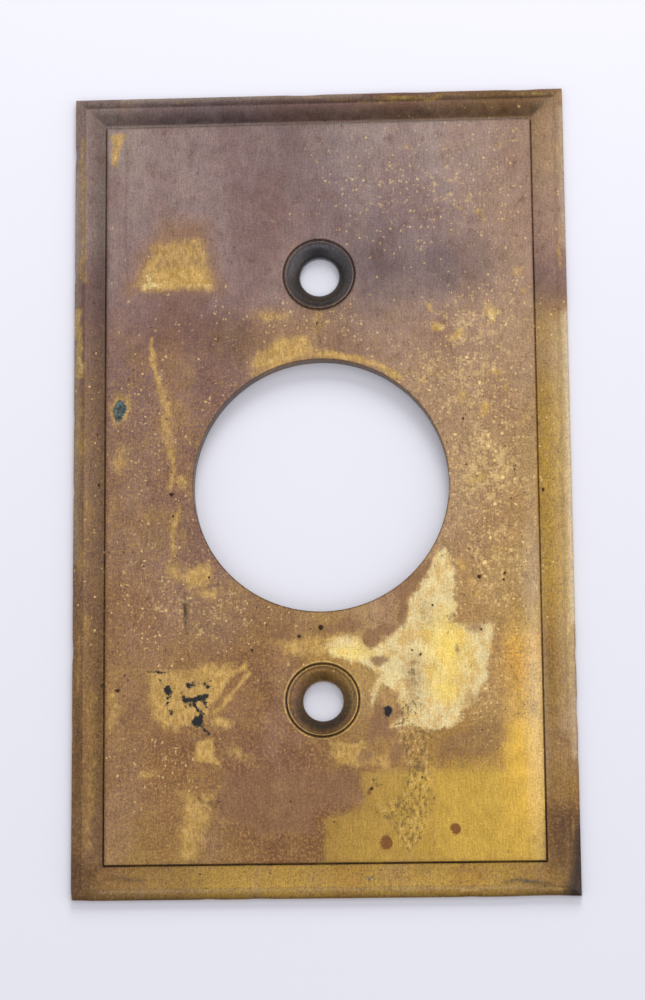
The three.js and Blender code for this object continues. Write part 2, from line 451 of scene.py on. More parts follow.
# Thin black residue, standing slightly proud of the face.
SOOT = {
    stroke: (
        (0.95, [(-24, -26), (-22.8, -25.8), (-21.5, -26)], 0.35, 0.25),
        (0.9, [(-21.4, -29.6), (-21.3, -31.8)], 0.35, 0.25),
        (0.95, [(-18.8, -29.9), (-17.6, -29.6), (-16, -29.4)], 0.9, 0.35),
        (0.95, [(-18.8, -29.2), (-18.4, -30.5)], 0.4, 0.25),
        (0.95, [(-17.8, -30.2), (-16.8, -31.6), (-16.4, -33.6)], 0.6, 0.3),
        (0.9, [(-16.2, -30.6), (-14.8, -30.2)], 0.22, 0.2),
        (0.9, [(-16.4, -33.6), (-15.8, -34.8)], 0.3, 0.2),
        (0.85, [(-19.2, -28.6), (-19.1, -31.2)], 0.25, 0.2),
        (0.75, [(-20.2, -27), (-20.2, -30.4)], 0.14, 0.2),
        (0.8, [(-16.2, -29.2), (-15.9, -31)], 0.4, 0.2),
        (0.7, [(-15.6, -26.6), (-15.4, -28.6)], 0.2, 0.2),
        (0.8, [(-22.9, -26), (-22.7, -28)], 0.2, 0.2),
        (0.75, [(-16.4, -31.8), (-14.4, -30.6)], 0.14, 0.2),
    ),
    spot: (
        (0.8, (-22.6, -27), (0.25, 0.3), 0.2), (0.95, (-21.2, -28.5), (0.55, 1), 0.3, 10),
        (0.95, (-17.3, -33.2), (0.85, 0.75), 0.3), (0.9, (-15.8, -28), (0.4, 0.25), 0.2),
        (0.7, (-18.4, -27.6), (1, 0.6), 0.5, -30), (0.65, (-16.6, -27.6), (0.9, 0.5)),
        (0.8, (-30.6, -27.5), (0.35, 0.7), 0.3), (0.7, (-14.4, -43.6), (0.3, 0.25), 0.2),
        (0.9, (-0.3, 22.9), (0.2, 0.25), 0.2), (0.95, (8.6, -31.8), (0.6, 0.6), 0.25),
    ),
}

# Corrosion: a thick teal crust on the face, and a thin green-black film on the lower bevel.
TEAL_CRUST = {spot: ((1, (-28, 11), (0.8, 1.6), 0.3, 5),)}
VERDIGRIS = {
    stroke: (
        (0.7, [(25.4, -55.2), (28, -55.4), (30.6, -55.7)], 0.4, 0.35),
        (0.65, [(-28.2, -54.2), (-25.2, -54.5)], 0.35, 0.4),
    ),
    spot: (*TEAL_CRUST[spot], (0.6, (6.4, -54.6), (0.9, 0.5))),
}
RUST = {
    spot: (
        (0.95, (8.6, -49.7), (1.05, 0.95), 0.35), (0.95, (17.9, -48.2), (0.85, 0.85), 0.25),
        (0.7, (5.8, -43), (0.5, 0.5), 0.3), (0.6, (7.2, -45.6), (0.4, 0.4), 0.3),
        (0.5, (-11.8, -49.8), (0.7, 0.8), 0.6), (0.5, (-18.2, 48), (0.5, 1.4), 0.8),
    ),
    ring_stain: (
        (0.7, (28.4, -49.4), (0.3, 0.4), 0.3), (0.6, (-11.8, -49.6), (0.9, 1), 0.3),
        (0.55, (-8.2, -49.8), (0.7, 0.8), 0.25), (0.55, (-6.2, -49.8), (0.7, 0.7), 0.25),
    ),
}

# Thin dark scratches and slits.
SCRATCHES = {
    stroke: (
        (1, [(-19, -15), (-19, -17.2), (-18.8, -20.8)], 0.16, 0.2),
        (1, [(-19, -16.6), (-19, -18.4)], 0.46, 0.2),
        (0.9, [(-17.4, -43.2), (-16.6, -43.9), (-15.6, -44.1), (-14.8, -44.8),
               (-14.4, -43.4)], 0.18, 0.18),
        (0.75, [(0, 24.9), (-0.2, 22.6), (0.1, 20)], 0.1, 0.2),
        (0.9, [(-0.1, 23.4), (-0.3, 22.4)], 0.26, 0.2),
        (0.45, [(-27.7, 51.6), (-27.3, 48), (-27.5, 36), (-27.2, 30)], 0.16, 0.24),
        (0.35, [(-17.9, 50), (-18.2, 46.6)], 0.6, 0.6),
        (0.4, [(16.4, -34.4), (16.4, -38.4)], 0.06, 0.16),
        (0.35, [(14, -37), (19, -37.2)], 0.06, 0.16),
        (0.7, [(24.4, -55.3), (26.6, -55), (28.6, -55.3), (31, -55.6)], 0.3, 0.35),
        (0.5, [(-29, -54.2), (-25.4, -54.4)], 0.3, 0.35),
    ),
}

# Painted reflection: soft pale strokes along the outer bands and on the top of the step, where these
# catch the light.
PAINTED_SHEEN = {
    stroke: (
        (0.62, [(34.6, 24), (34.6, -20)], 0.9, 0.5), (0.4, [(34.6, -18), (34.6, -38)], 0.7, 0.5),
        (0.3, [(34.6, 54), (34.6, 34)], 0.6, 0.5), (0.3, [(-34.6, 46), (-34.5, -10)], 0.5, 0.5),
        (0.35, [(-28, 56.9), (6, 56.9)], 0.5, 0.5), (0.2, [(-31, -56), (29, -56)], 0.2, 0.3),
        (0.22, [(-28, 52.4), (28, 52.4)], 0.2, 0.3), (0.24, [(34, 22), (34, -34)], 1.8, 1.4),
    ),
    spot: ((0.4, (29.2, -28), (0.9, 13), 1.2),),
}
# Soft dark smudges of oil and soot on the panel, and painted shade along the outer edges, in the top
# cove, beside the left step and in the two lower corners.
SMEARS_AND_SHADE = {
    patch: (
        (1, [(36, -44), (36, -58), (32.4, -58), (33.2, -54), (34, -48)], 1),
        (0.5, [(31, -46), (34, -45), (34, -57), (30.6, -52.8)], 1.4),
        (0.35, [(-36, -50), (-36, -58), (-31, -58), (-31, -53)], 1.2),
        (0.12, [(-30.4, 52), (30, 52), (34, 55.6), (-33.6, 55.6)], 0.9),
    ),
    stroke: (
        (0.5, [(34.9, -20), (34.9, -44)], 0.2, 0.4), (0.35, [(-34, -30), (-34, -48)], 0.4, 0.6),
        (0.6, [(-34, -57.1), (34, -57.1)], 0.3, 0.35), (0.18, [(-30.7, 50), (-30.7, 8)], 0.5, 0.6),
        (0.08, [(-30.7, 8), (-30.7, -50)], 0.3, 0.5),
    ),
    spot: (
        (0.26, (9, 31), (4, 5), 3), (0.24, (19, 31), (6, 4), 1.6), (0.3, (-12, 21), (4, 3), 2),
        (0.3, (-31.2, 36), (1, 14), 1),
    ),
}
# A warm orange-brown halo around the most strongly worn marks.
GLOW = {
    patch: (
        (0.9, [(-27.4, 27.8), (-13.6, 27.8), (-14.8, 33), (-16, 38.2), (-22, 38.6),
               (-25.4, 34)], 1.6),
        (0.7, [(-24, -36.5), (-26, -40.5), (-20, -42), (-19, -38)], 1.2),
    ),
    spot: (
        (0.7, (-18, -28), (7.5, 6), 3), (0.6, (-21, -42), (5, 4), 3, 30),
        (0.7, (10, -46), (5, 5), 3), (0.6, (-9, 21), (6, 3), 2), (0.7, (-3, -23), (6, 2.4), 1.5),
        (0.5, (-21, 12), (2, 10), 2),
    ),
}

# How thickly small dark pinholes lie.
POCKED = {
    stroke: (
        (0.5, [(-32.6, 30), (-33, 0), (-33, -54)], 3.4, 1.6), (0.3, [(33, 20), (33, -44)], 3, 1.6),
        (0.35, [(-30, -55), (30, -55)], 3, 1.5),
    ),
    spot: (
        (0.34, (-24, -12), (7, 32), 6), (0.3, (24, -10), (7, 30), 5), (0.4, (0, -21), (12, 2.4), 2),
    ),
}

# How thickly small golden specks lie.
SPECKS = {
    spot: (
        (0.5, (15, 42), (14, 9), 6), (0.42, (26, 40), (4, 12), 4), (0.85, (22, 23), (9, 4), 3),
        (0.5, (27, 29), (3, 4), 2), (0.8, (20, 15), (10, 7), 5), (0.9, (23, 2), (7, 9), 4),
        (0.8, (24, -9), (6, 10), 4), (0.8, (23, -26), (2.6, 8), 1.6, -14),
        (0.6, (-2, 22.6), (11, 3), 3), (0.3, (-24, 5), (8, 18), 8), (0.66, (-20, -17), (10, 6), 5),
        (0.5, (-10, -20), (9, 4), 5), (0.45, (-23, -38), (6, 4), 4, 30),
    ),
}
# The etched trail down from the pale patch.
ETCHED = {
    patch: (
        (0.95, [(10, -30), (13.5, -30), (14.2, -37), (14.8, -43), (13.8, -49), (11.4, -51.5),
                (9.6, -46.6), (11.2, -40), (10, -35)], 0.9),
        (0.75, [(6.6, -44.4), (11, -43.4), (11.6, -48.8), (8.6, -47.6)], 1),
    ),
    spot: (
        (0.6, (7, -42), (1.2, 1.8), 1), (0.55, (15, -35.5), (3, 1.2), 1),
        (0.6, (12.4, -27), (1.6, 3), 1),
    ),
}

# Stains whose outline wobbles, and marks that stay as they are drawn.
WOBBLED_FIELDS = {
    "worn": WORN, "polished": POLISHED, "pale": PALE, "yellow": YELLOW, "islands": ISLANDS,
    "soot": SOOT, "verdigris": VERDIGRIS, "rust": RUST, "specks": SPECKS, "etched": ETCHED,
    "glow": GLOW, "pocked": POCKED,
}
STEADY_FIELDS = {"painted_sheen": PAINTED_SHEEN, "smears_and_shade": SMEARS_AND_SHADE, "scratches": SCRATCHES}

# (radius, strength) of the oil in the upper screw seat.
OIL_SECTION = ((3.4, 0.95), (4.5, 0.9), (4.75, 0.6), (5.0, 0.0))

# (x, y, radius, depth) of the pits that stand out one by one.
PITS = (
    (-20.9, -1.1, 0.3, 0.12), (-20.7, -4.1, 0.22, 0.1), (-3.2, -21.3, 0.34, 0.12),
    (-0.2, -20.1, 0.4, 0.12), (-9.7, -23.1, 0.26, 0.1), (21.8, -13.4, 0.34, 0.12),
    (25.3, -13, 0.26, 0.1), (25.2, -13.9, 0.2, 0.1), (26.1, -6.3, 0.24, 0.08),
    (20.6, -9.4, 0.18, 0.08), (20, 9, 0.18, 0.08), (27.4, 10.2, 0.2, 0.08),
    (-15.6, -12.9, 0.24, 0.08), (-28.4, -28.5, 0.3, 0.12), (12.3, -23.4, 0.22, 0.1),
    (13.6, -24, 0.26, 0.1), (17.3, -21.1, 0.22, 0.1), (22, -20.8, 0.24, 0.1),
    (15.1, -43.9, 0.22, 0.1), (25.7, -45.5, 0.18, 0.08), (13.6, -41, 0.2, 0.1),
    (1, -47, 0.16, 0.08), (1.5, -46.8, 0.16, 0.08), (-27.3, -44.2, 0.22, 0.08),
    (16.6, -10.3, 0.22, 0.1), (17.2, -18.7, 0.2, 0.08), (15.3, -17.2, 0.16, 0.08),
    (-26.9, 15.6, 0.24, 0.08), (28.2, -20.1, 0.2, 0.08), (7, -41.2, 0.22, 0.1),
    (6.6, -42.4, 0.3, 0.1), (8, -42, 0.2, 0.1), (30.9, -1.2, 0.32, 0.12), (31.6, -31.8, 0.22, 0.08),
    (-31.2, 0.6, 0.26, 0.1), (-31.4, 7.6, 0.22, 0.1),
)
SCATTERED_PITS = 260
PIT_RADII = (0.09, 0.2)
PIT_DEPTHS = (0.02, 0.06)
PIT_REACH = 2
PIT_STEEPNESS = 1.5
# Pits are fully dark from this depth, and keep this far in from the outline.
DARK_PIT_DEPTH = 0.07
PIT_MARGIN = 0.4

# (pitch, height, seed) of the face's gentle waves, and how far each kind of wear moves the face.
SWELLS = ((14, 0.016, 3), (3.5, 0.007, 4))
SOOT_THICKNESS = 0.028
VERDIGRIS_THICKNESS = 0.045
ETCH_DEPTH = 0.02
SCRATCH_DEPTH = 0.03
STRIPPED_DEPTH = 0.008
PANEL_MARGIN = 0.3
KNOCK_DEPTH = 0.5
KNOCK_REACH = 0.5


# --- The plate's mesh ----------------------------------------------------------------------


def ring(centre, radius, count):
    turns = np.linspace(0, 2 * math.pi, count, endpoint=False)
    return [(centre[0] + radius * math.cos(t), centre[1] + radius * math.sin(t)) for t in turns]


def rectangle(inset, spacing):
    """Points around the plate at one inset, with the corners among them."""
    w, h = HALF_WIDTH - inset, HALF_LENGTH - inset
    corners = [(-w, -h), (w, -h), (w, h), (-w, h)]
    points = []
    for start, end in zip(corners, corners[1:] + corners[:1]):
        count = max(1, round(math.dist(start, end) / spacing))
        for step in range(count):
            along = step / count
            across = start[0] + (end[0] - start[0]) * along
            up = start[1] + (end[1] - start[1]) * along
            points.append((across, up))
    return points


def filling(spacing, inset, clearance):
    """Staggered points inside the loops: clear of the outline, the hole and the screw seats."""
    rows = np.arange(-HALF_LENGTH, HALF_LENGTH, spacing * math.sqrt(3) / 2)
    columns = np.arange(-HALF_WIDTH, HALF_WIDTH, spacing)
    x, y = np.meshgrid(columns, rows)
    x[::2] += spacing / 2
    keep = inset_from_outline(x, y) > inset
    keep &= np.hypot(x, y) > HOLE_RADIUS + clearance
    keep &= screw_distance(x, y) > clearance + SCREW_SECTION[-1][0]
    return list(zip(x[keep], y[keep]))


def triangulate(loops, loose):
    """Triangles over the plate outside its holes, with every loop kept as edges."""
    points, edges = [], []
    for loop in loops:
        first = len(points)
        points += loop
        edges += [(first + k, first + (k + 1) % len(loop)) for k in range(len(loop))]
    points += loose
    found = delaunay_2d_cdt([Vector(p) for p in points], edges, [], 0, 1e-6)
    flat = np.array([tuple(v) for v in found[0]])
    faces = np.array([face for face in found[2] if len(face) == 3])
    middle = flat[faces].mean(axis=1)
    solid = np.hypot(middle[:, 0], middle[:, 1]) > HOLE_RADIUS
    solid &= screw_distance(middle[:, 0], middle[:, 1]) > BORE_RADIUS
    return flat, faces[solid]


def face_loops():
    loops = [rectangle(inset, BORDER_SPACING) for inset, _ in border_section()]
    loops += [ring((0, 0), radius, HOLE_RING_COUNT) for radius, _ in hole_edge_section()]
    for centre in SCREW_CENTRES:
        loops += [ring(centre, radius, SCREW_RING_COUNT) for radius, _ in SCREW_SECTION]
    return loops


def back_loops():
    loops = [rectangle(0, BORDER_SPACING), ring((0, 0), HOLE_RADIUS, HOLE_RING_COUNT)]
    return loops + [ring(centre, BORE_RADIUS, SCREW_RING_COUNT) for centre in SCREW_CENTRES]


def panel_weight(x, y):
    """1 on the flat panel, falling to 0 at the border and at the holes."""
    from_border = inset_from_outline(x, y) - GROOVE_POINTS[-1][0]
    from_hole = np.hypot(x, y) - HOLE_RADIUS - HOLE_EDGE_ROUND
    from_screw = screw_distance(x, y) - SCREW_SECTION[-1][0]
    weights = [np.clip(away / PANEL_MARGIN, 0, 1) for away in (from_border, from_hole, from_screw)]
    return np.prod(weights, axis=0)


def scattered_pits():
    rng = np.random.default_rng(SEED)
    count = SCATTERED_PITS
    x = rng.uniform(-HALF_WIDTH, HALF_WIDTH, count)
    y = rng.uniform(-HALF_LENGTH, HALF_LENGTH, count)
    return list(zip(x, y, rng.uniform(*PIT_RADII, count), rng.uniform(*PIT_DEPTHS, count)))


def pit_depth(x, y):
    depth = np.zeros(x.shape)
    for pit_x, pit_y, radius, deepest in [*PITS, *scattered_pits()]:
        away = np.hypot(x - pit_x, y - pit_y) / radius
        near = away < PIT_REACH
        pit = deepest * np.exp(-away[near] ** 2 * PIT_STEEPNESS)
        depth[near] = np.maximum(depth[near], pit)
    return depth


def crust_height(x, y):
    """The soot flakes and the verdigris, standing proud with a ragged top."""
    u, v = wobbled(x, y)
    grain = lattice_noise(x, y, 0.5, 7)
    soot = np.clip((layer(u, v, SOOT) + 0.35 * (grain - 0.5) - 0.45) * 4, 0, 1)
    green = np.clip((layer(u, v, TEAL_CRUST) + 0.3 * (grain - 0.5) - 0.45) * 3, 0, 1)
    soot_height = SOOT_THICKNESS * soot * (0.6 + 0.4 * grain)
    return soot_height + VERDIGRIS_THICKNESS * green * (0.5 + 0.5 * grain)


def worn_height(x, y):
    """How far wear moves the face up or down from its smooth height."""
    u, v = wobbled(x, y)
    swell = sum(height * (lattice_noise(x, y, pitch, seed) - 1) for pitch, height, seed in SWELLS)
    eaten = lattice_noise(x, y, 0.7, 5) > 0.56
    etched = ETCH_DEPTH * eaten * np.clip(layer(u, v, ETCHED) * 1.6 - 0.5, 0, 1)
    scratched = SCRATCH_DEPTH * layer(x, y, SCRATCHES)
    stripped = STRIPPED_DEPTH * np.clip(layer(u, v, PALE) * 2 - 0.5, 0, 1)
    change = swell - etched - scratched - stripped + crust_height(x, y)
    pitted = pit_depth(x, y) * (inset_from_outline(x, y) > PIT_MARGIN)
    return change * panel_weight(x, y) - pitted


def edge_knocks(x, y):
    """Small flats along the outer edge, as depths pushed in from the outline."""
    around = x + 1.7 * y
    knocks = np.clip(lattice_noise(around, x - y, 6, 11) - 0.72, 0, 1) * KNOCK_DEPTH
    return knocks * np.exp(-inset_from_outline(x, y) / KNOCK_REACH)


def knocked(x, y):
    """Places along the outer edge, pushed in where it was knocked."""
    push = edge_knocks(x, y)
    return x * (1 - push / HALF_WIDTH), y * (1 - push / HALF_LENGTH)


def plate_mesh():
    """The whole plate as one closed mesh: worn face, rounded walls and flat back."""
    panel_inset = GROOVE_POINTS[-1][0] + LOOP_CLEARANCE
    flat, faces = triangulate(face_loops(), filling(PANEL_SPACING, panel_inset, LOOP_CLEARANCE))
    x, y = flat.T
    z = smooth_height(x, y) + worn_height(x, y)
    x, y = knocked(x, y)
    mesh = bpy.data.meshes.new("brass_plate")
    mesh.from_pydata(np.column_stack((x, y, z)).tolist(), [], faces.tolist())
    body = bmesh.new()
    body.from_mesh(mesh)
    rim = [edge for edge in body.edges if edge.is_boundary]
    for level in WALL_LEVELS:
        rim = drop_rim(body, rim, level)
    drop_rim(body, rim, 0.0)
    add_back(body)
    bmesh.ops.remove_doubles(body, verts=body.verts, dist=WELD_DISTANCE)
    bmesh.ops.recalc_face_normals(body, faces=body.faces)
    bmesh.ops.scale(body, vec=(MM, MM, MM), verts=body.verts)
    sort_faces(body)
    body.to_mesh(mesh)
    body.free()
    return mesh


def sort_faces(body):
    """Puts the faces in the order of their points, so that every run gives the same mesh."""
    body.verts.index_update()
    count = len(body.verts)

    def place(face):
        first, second, third = sorted(vert.index for vert in face.verts)[:3]
        return (first * count + second) * count + third

    body.faces.sort(key=place)


def drop_rim(body, rim, level):
    """Carries the open edges down to a level and gives back the new open edges."""
    made = bmesh.ops.extrude_edge_only(body, edges=rim)["geom"]
    for vert in (item for item in made if isinstance(item, bmesh.types.BMVert)):
        vert.co.z = level
    return [item for item in made if isinstance(item, bmesh.types.BMEdge) and item.is_boundary]


def add_back(body):
    loose = filling(BACK_SPACING, BACK_CLEARANCE, BACK_CLEARANCE)
    flat, faces = triangulate(back_loops(), loose)
    verts = [body.verts.new((x, y, 0.0)) for x, y in zip(*knocked(*flat.T))]
    for a, b, c in faces:
        body.faces.new((verts[c], verts[b], verts[a]))


# --- Patina, painted reflection and painted shade stored on the mesh -------------------------


def linear(colour):
    """A linear RGBA colour from sRGB out of 255."""
    scaled = np.array(colour) / 255
    low, high = scaled / 12.92, ((scaled + 0.055) / 1.055) ** 2.4
    return (*np.where(scaled < 0.04045, low, high), 1.0)


def blended_tones(x, y, swatches):
    """The average of the swatches near each point, as linear RGB."""
    total = np.zeros((len(x), 3))
    weights = np.full(len(x), 1e-9)
    for tone, places in swatches.items():
        colour = np.array(linear(TONES[tone])[:3])
        for swatch_x, swatch_y, reach in places:
            away = (x - swatch_x) ** 2 + (y - swatch_y) ** 2
            weight = np.exp(-away / (2 * reach ** 2))
            total += weight[:, None] * colour
            weights += weight
    return total / weights[:, None]


def tone_colours(x, y):
    on_border = inset_from_outline(x, y) < GROOVE_POINTS[1][0]
    border = blended_tones(x, y, BORDER_SWATCHES)
    panel = blended_tones(x, y, SWATCHES)
    tones = np.where(on_border[:, None], border, panel)
    return np.column_stack((tones, np.ones(len(x))))


def line_at(place, width, distance):
    """1 where the distance is at the place, fading softly over the width."""
    return np.exp(-((distance - place) / width) ** 2)


def border_grime_and_shade(x, y):
    """Painted shade with some dirt beside the step and along the crease, darker low down and to the
    right.
    """
    inset = inset_from_outline(x, y)
    low_or_right = np.maximum(0.7 * x / HALF_WIDTH, -y / HALF_LENGTH)
    thick = np.clip(low_or_right * 3 - 1.5, 0.25, 1) * ~nearest_the_top(x, y)
    uneven = 0.65 + 0.5 * lattice_noise(x, y, 2.5, 23)
    # Painted shade with dirt in the step's groove, heavier low down and to the right, and none along
    # the top.
    step_line = uneven * thick * line_at(GROOVE_POINTS[0][0], 0.13, inset)
    at_side = HALF_WIDTH - np.abs(x) < HALF_LENGTH - np.abs(y)
    # Painted shade along the crease, on the left side and along the bottom only.
    crease_side = np.where(at_side, np.where(x < 0, 0.42, 0.0), np.where(y < 0, 0.3, 0.0))
    crease_line = crease_side * uneven * line_at(CREASE[0], 0.14, inset)
    # Broad painted shade in the cove beside the step, strongest along the top where the step line is
    # missing.
    haze = 0.3 * (1 - thick) * line_at(4.3, 0.8, inset)
    return [step_line, crease_line, haze]


def seat_grime_and_shade(x, y):
    """Dirt and painted shade in the screw seats: in the groove, at the bead's foot and on the cone,
    darker on its lower side.
    """
    from_screw = screw_distance(x, y)
    # Groove and bead foot darkened as dirt and painted shade; the cone's lower side is darker as
    # painted shade.
    groove = line_at(SEAT_GROOVE_RADIUS, 0.1, from_screw)
    bead_foot = 0.7 * line_at(BEAD_FOOT_RADIUS, 0.1, from_screw)
    below_middle = np.where(y > 0, SCREW_OFFSET - y, -SCREW_OFFSET - y) / BORE_RADIUS
    on_cone = np.clip((CONE_TOP_RADIUS - from_screw) / 0.7, 0, 1)
    cone = on_cone * np.clip(0.6 + 0.25 * below_middle, 0.35, 0.95)
    return [groove, bead_foot, cone]


def grime_and_shade(x, y):
    """Dirt and painted shade in the recesses: on the border, in the screw seats and on the hole's
    wall.
    """
    # The receptacle hole's wall darkened as painted shade.
    rim = 0.6 * line_at(0, 0.12, np.maximum(np.hypot(x, y) - HOLE_RADIUS, 0))
    lines = [*border_grime_and_shade(x, y), *seat_grime_and_shade(x, y), rim]
    return np.clip(np.max(lines, axis=0), 0, 1)


def oil(x, y):
    """Blue-black oil in the upper screw seat."""
    radii, strengths = zip(*OIL_SECTION)
    return np.interp(screw_distance(x, y), radii, strengths) * (y > 0)


def edge_wear_and_highlight(x, y):
    """Rubbed metal in broken lengths of the outer band, and painted highlights on the bead rings and
    lips of the screw seats.
    """
    broken = np.clip(lattice_noise(x, y, 4, 21) * 2.2 - 0.9, 0, 1)
    band = 0.5 * line_at(0.9, 0.5, inset_from_outline(x, y)) * broken
    from_screw = screw_distance(x, y)
    # Painted highlights on the screw seats' bead rings and lips, brighter on the lower seat.
    bead_highlights = line_at(BEAD_RADIUS, 0.1, from_screw) + line_at(SEAT_LIP_RADIUS, 0.1, from_screw)
    return np.maximum(band, np.where(y > 0, 0.45, 0.75) * bead_highlights)


def store_patina_and_painted_light(mesh):
    """Writes the tone and every field of stains, painted reflection and painted shade onto the mesh's
    points.
    """
    places = np.empty(len(mesh.vertices) * 3, np.float32)
    mesh.vertices.foreach_get("co", places)
    x, y = places.reshape(-1, 3)[:, :2].T.astype(float) / MM
    tone = mesh.attributes.new("tone", "FLOAT_COLOR", "POINT")
    tone.data.foreach_set("color", tone_colours(x, y).astype(np.float32).ravel())
    u, v = wobbled(x, y)
    values = {name: layer(u, v, marks) for name, marks in WOBBLED_FIELDS.items()}
    values |= {name: layer(x, y, marks) for name, marks in STEADY_FIELDS.items()}
    values["oil"] = oil(x, y)
    values["grime_and_shade"] = grime_and_shade(x, y)
    values["edge_wear_and_highlight"] = edge_wear_and_highlight(x, y)
    values["pits"] = np.clip(pit_depth(x, y) / DARK_PIT_DEPTH, 0, 1)
    for name, field in values.items():
        attribute = mesh.attributes.new(name, "FLOAT", "POINT")
        attribute.data.foreach_set("value", field.astype(np.float32))


# --- Materials -------------------------------------------------------------------------------


class Graph:
    """Short calls for building the nodes of a material or a world."""

    def __init__(self, owner, shader):
        owner.use_nodes = True
        self.owner = owner
        self.tree = owner.node_tree
        self.shader = self.tree.nodes[shader]

    def node(self, kind, inputs=(), **settings):
        made = self.tree.nodes.new(kind)
        for key, value in settings.items():
            setattr(made, key, value)
        for key, value in dict(inputs).items():
            self.join(value, made.inputs[key])
        return made

    def join(self, value, socket):
        if isinstance(value, bpy.types.NodeSocket):
            self.tree.links.new(value, socket)
        else:
            socket.default_value = value

    def field(self, name):
        return self.node("ShaderNodeAttribute", attribute_name=name).outputs["Fac"]

    def colour_field(self, name):
        return self.node("ShaderNodeAttribute", attribute_name=name).outputs["Color"]

    def millimetres(self, stretch=(1, 1, 1)):
        """Object coordinates in millimetres, each axis times its stretch."""
        place = self.node("ShaderNodeTexCoord").outputs["Object"]
        scale = [value / MM for value in stretch]
        return self.vector_math("MULTIPLY", place, scale)["Vector"]

    def height_on_plate(self):
        """How far up the plate a point lies, in millimetres from its middle."""
        return self.node("ShaderNodeSeparateXYZ", {0: self.millimetres()}).outputs["Y"]

    def noise(self, name):
        per_mm, detail, roughness, stretch = NOISES[name]
        inputs = {"Scale": per_mm, "Detail": detail, "Roughness": roughness}
        inputs["Vector"] = self.millimetres(stretch)
        return self.node("ShaderNodeTexNoise", inputs).outputs["Fac"]

    def math(self, operation, *values, clamp=False):
        inputs = dict(enumerate(values))
        return self.node("ShaderNodeMath", inputs, operation=operation, use_clamp=clamp).outputs[0]

    def times(self, a, b):
        return self.math("MULTIPLY", a, b)

    def larger(self, a, b):
        return self.math("MAXIMUM", a, b)

    def vector_math(self, operation, a, b):
        return self.node("ShaderNodeVectorMath", {0: a, 1: b}, operation=operation).outputs

    def ramp(self, value, low, high, to_low=0.0, to_high=1.0):
        inputs = {0: value, 1: low, 2: high, 3: to_low, 4: to_high}
        return self.node("ShaderNodeMapRange", inputs, interpolation_type="SMOOTHSTEP").outputs[0]

    def ragged(self, field, noise, raggedness, edge, strength):
        """A stain field cut at its middle, along an edge that the noise makes ragged."""
        offset = self.times(self.math("SUBTRACT", noise, 0.5), raggedness)
        return self.ramp(self.math("ADD", field, offset), 0.5 - edge, 0.5 + edge, 0, strength)

    def mix(self, amount, under, over, blend="MIX"):
        made = self.node("ShaderNodeMix", data_type="RGBA", blend_type=blend)
        self.join(amount, made.inputs[0])
        self.join(under, made.inputs[6])
        self.join(over, made.inputs[7])
        return made.outputs[2]

    def layered(self, colour, layers):
        """The colour under several layers, each (amount, colour), from the lowest up."""
        for amount, over in layers:
            colour = self.mix(amount, colour, over)
        return colour


BARE_GOLD = linear((212, 174, 104))
DULL_GOLD = linear((180, 140, 86))
WORN_GOLD = linear((176, 140, 70))
POLISHED_GOLD = linear((206, 168, 72))
PALE_BRASS = linear((226, 206, 150))
YELLOW_BRASS = linear((250, 216, 92))
ISLAND_BROWN = linear((138, 103, 74))
SPECK_GOLD = linear((242, 208, 138))
SOOT_BLACK = linear((32, 33, 31))
# The pale colour of the painted reflection on the outer bands.
PAINTED_SHEEN_PALE = linear((224, 208, 178))
# The dark colour of the smudges and of the painted shade along edges and corners.
SMEAR_AND_SHADE_DARK = linear((50, 46, 46))
LILAC = linear((152, 136, 140))
ROSY_BROWN = linear((164, 130, 112))
HONEY = linear((172, 138, 78))
TEAL = linear((92, 108, 104))
TEAL_DARK = linear((50, 56, 54))
RUST_BROWN = linear((118, 64, 16))
GLOW_BROWN = linear((152, 110, 60))
OIL_BLUE = linear((84, 84, 88))
SCRATCH_DARK = linear((62, 48, 40))
# The dark brown of the dirt and painted shade in the recesses.
GRIME_AND_SHADE_BROWN = linear((52, 40, 26))
PIT_BROWN = linear((58, 42, 30))
TARNISH_DARK = linear((108, 78, 68))
ETCH_GREY = linear((118, 98, 62))


# (per millimetre, detail, roughness, stretch) of each noise.
EVEN = (1, 1, 1)
NOISES = {
    "drift": (0.09, 3, 0.5, (1.4, 0.8, 1)),
    "haze": (0.2, 5, 0.65, EVEN),
    "mottle": (0.7, 7, 0.8, (1.2, 0.9, 1)),
    "gold_grain": (2.4, 5, 0.9, EVEN),
    "dark_grain": (2.9, 5, 0.9, (1, 1.1, 1)),
    "streaks": (1.3, 5, 0.75, (1.4, 0.8, 1)),
    "blotches": (0.5, 7, 0.8, (1.3, 0.9, 1)),
    "crust": (1.8, 4, 0.8, EVEN),
    "brushing": (1.0, 4, 0.75, (6, 0.8, 1)),
    "grain": (3.6, 4, 0.85, EVEN),
    "coarse": (1.1, 5, 0.65, EVEN),
    "grainy": (1.6, 6, 0.85, EVEN),
    "fine": (3.2, 3, 0.6, EVEN),
    "streaked": (1.0, 6, 0.8, (1.3, 0.9, 1)),
    "etching": (1.5, 5, 0.75, (1.3, 0.8, 1)),
    "specks": (0.95, 5, 0.8, EVEN),
    "finish": (0.5, 4, 0.5, EVEN),
    "brushed_relief": (1.0, 3, 0.7, (12, 0.6, 1)),
    "grain_relief": (5.0, 3, 0.5, EVEN),
    "floor_cloud": (0.01, 3, 0.5, EVEN),
}

# (noise, raggedness, softness of the edge, strength) of the masks cut from stain fields.
CUTS = {
    "worn": ("streaked", 1.4, 0.36, 0.84),
    "polished": ("coarse", 0.7, 0.3, 0.9),
    "pale": ("grainy", 1.9, 0.2, 0.92),
    "islands": ("grainy", 1.3, 0.3, 0.8),
    "soot": ("grainy", 2.4, 0.16, 1),
    "verdigris": ("fine", 1.2, 0.2, 1),
    "rust": ("fine", 0.9, 0.22, 0.88),
    "edge_wear_and_highlight": ("streaked", 0.8, 0.2, 1),
}

